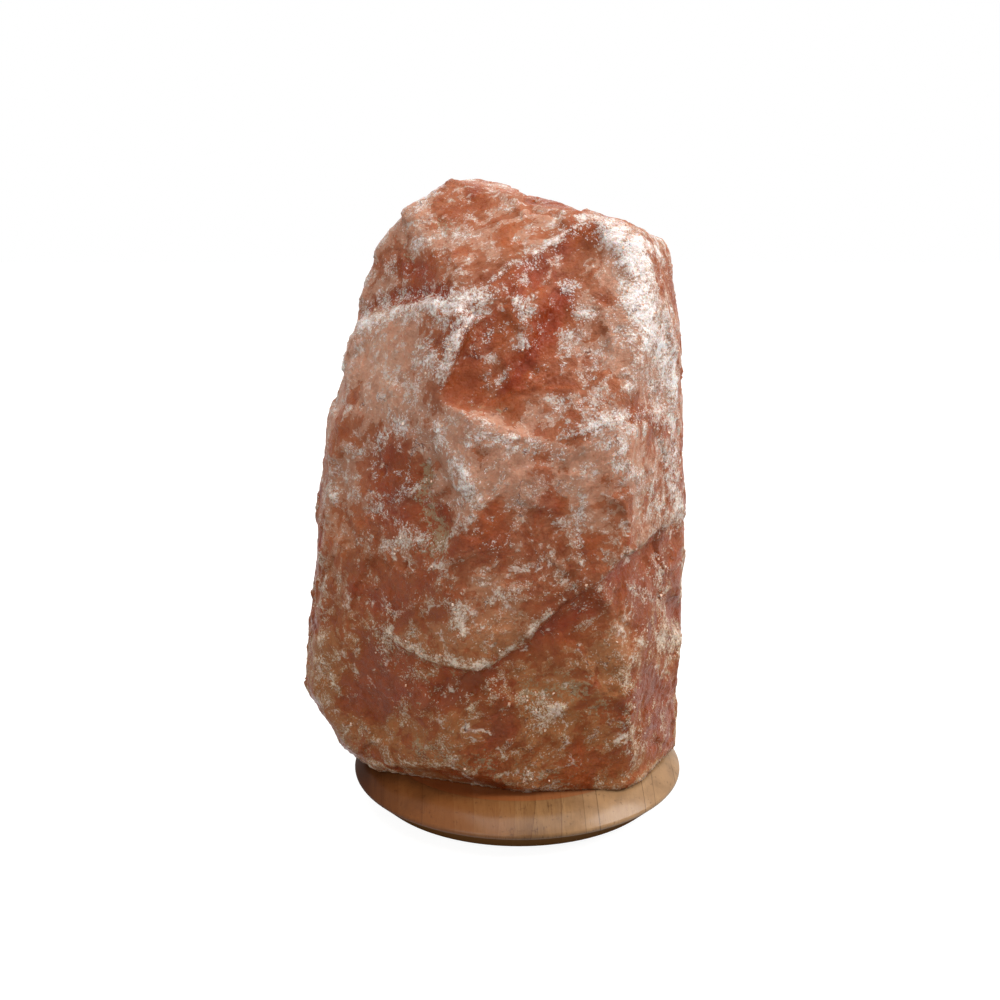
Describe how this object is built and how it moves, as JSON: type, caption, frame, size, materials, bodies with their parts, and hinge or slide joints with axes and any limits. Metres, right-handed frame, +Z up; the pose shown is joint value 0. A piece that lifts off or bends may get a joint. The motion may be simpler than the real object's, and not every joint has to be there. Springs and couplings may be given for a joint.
{
  "type": "salt crystal lamp",
  "caption": "Rough cleaved block of orange salt, drilled from below for a small bulb, screwed to a round turned wooden base with a slide-out lamp holder.",
  "frame": {"origin": "centre of the round base, on the surface that the rubber feet stand on", "axes": "+Z up along the axis of the base and of the bulb; -Y towards the viewer of the picture; +X to the viewer's right"},
  "size_m": [0.1626, 0.14, 0.2576],
  "materials": {
    "salt": "cleaved translucent rock salt, waxy, with pale frosted edges",
    "wood": "turned and oiled, satin",
    "rubber": "moulded, matte",
    "zinc_steel": "bright zinc plate",
    "spring_steel": "bright spring strip",
    "grey_nylon": "moulded nylon",
    "holder_plastic": "moulded thermoset, satin",
    "ceramic": "unglazed steatite",
    "brass": "stamped brass",
    "cap_metal": "rolled thread, bright",
    "dark_glass": "black glass insulator",
    "clear_glass": "clear blown glass",
    "wire_metal": "drawn wire"
  },
  "bodies": {
    "root": {"salt_crystal": "salt", "wood_base": "wood", "base_screws": "zinc_steel", "screw_washers": "zinc_steel", "wall_plugs": "grey_nylon", "foot_screws": "zinc_steel", "rubber_foot_1": "rubber", "rubber_foot_2": "rubber", "rubber_foot_3": "rubber", "rubber_foot_4": "rubber"},
    "lamp_unit": {"spring_clip": "spring_steel", "clip_lock_nut": "zinc_steel", "cap_lock_nut": "zinc_steel", "cord_nipple": "zinc_steel", "cord_grip_screw": "zinc_steel", "holder_cap": "holder_plastic", "holder_skirt": "holder_plastic", "holder_insert": "ceramic", "left_terminal": "brass", "right_terminal": "brass", "terminal_screws": "zinc_steel", "centre_contact": "brass", "contact_rivet": "brass", "side_contact_pin": "brass", "threaded_shell": "brass"},
    "bulb_contact": {"bulb_contact": "brass"},
    "bulb": {"bulb_insulator": "dark_glass", "bulb_cap": "cap_metal", "bulb_glass": "clear_glass", "bulb_stem": "clear_glass", "bulb_lead_wires": "wire_metal", "bulb_filament": "wire_metal"}
  },
  "joints": [
    {"name": "lamp_unit_slide", "type": "slide", "parent": "root", "child": "lamp_unit", "axis": [0, 0, -1], "range_m": [0, 0.115]},
    {"name": "bulb_travel", "type": "slide", "parent": "lamp_unit", "child": "bulb_contact", "axis": [0, 0, 1], "range_m": [0, 0.0099]},
    {"name": "bulb_turn", "type": "hinge", "parent": "bulb_contact", "child": "bulb", "pos_m": [0, 0, 0.047], "axis": [0, 0, 1], "range_deg": [0, 1260]}
  ],
  "couplings": [
    {"joint": "bulb_travel", "follows": "bulb_turn", "m_per_rad": 0.00044914}
  ]
}
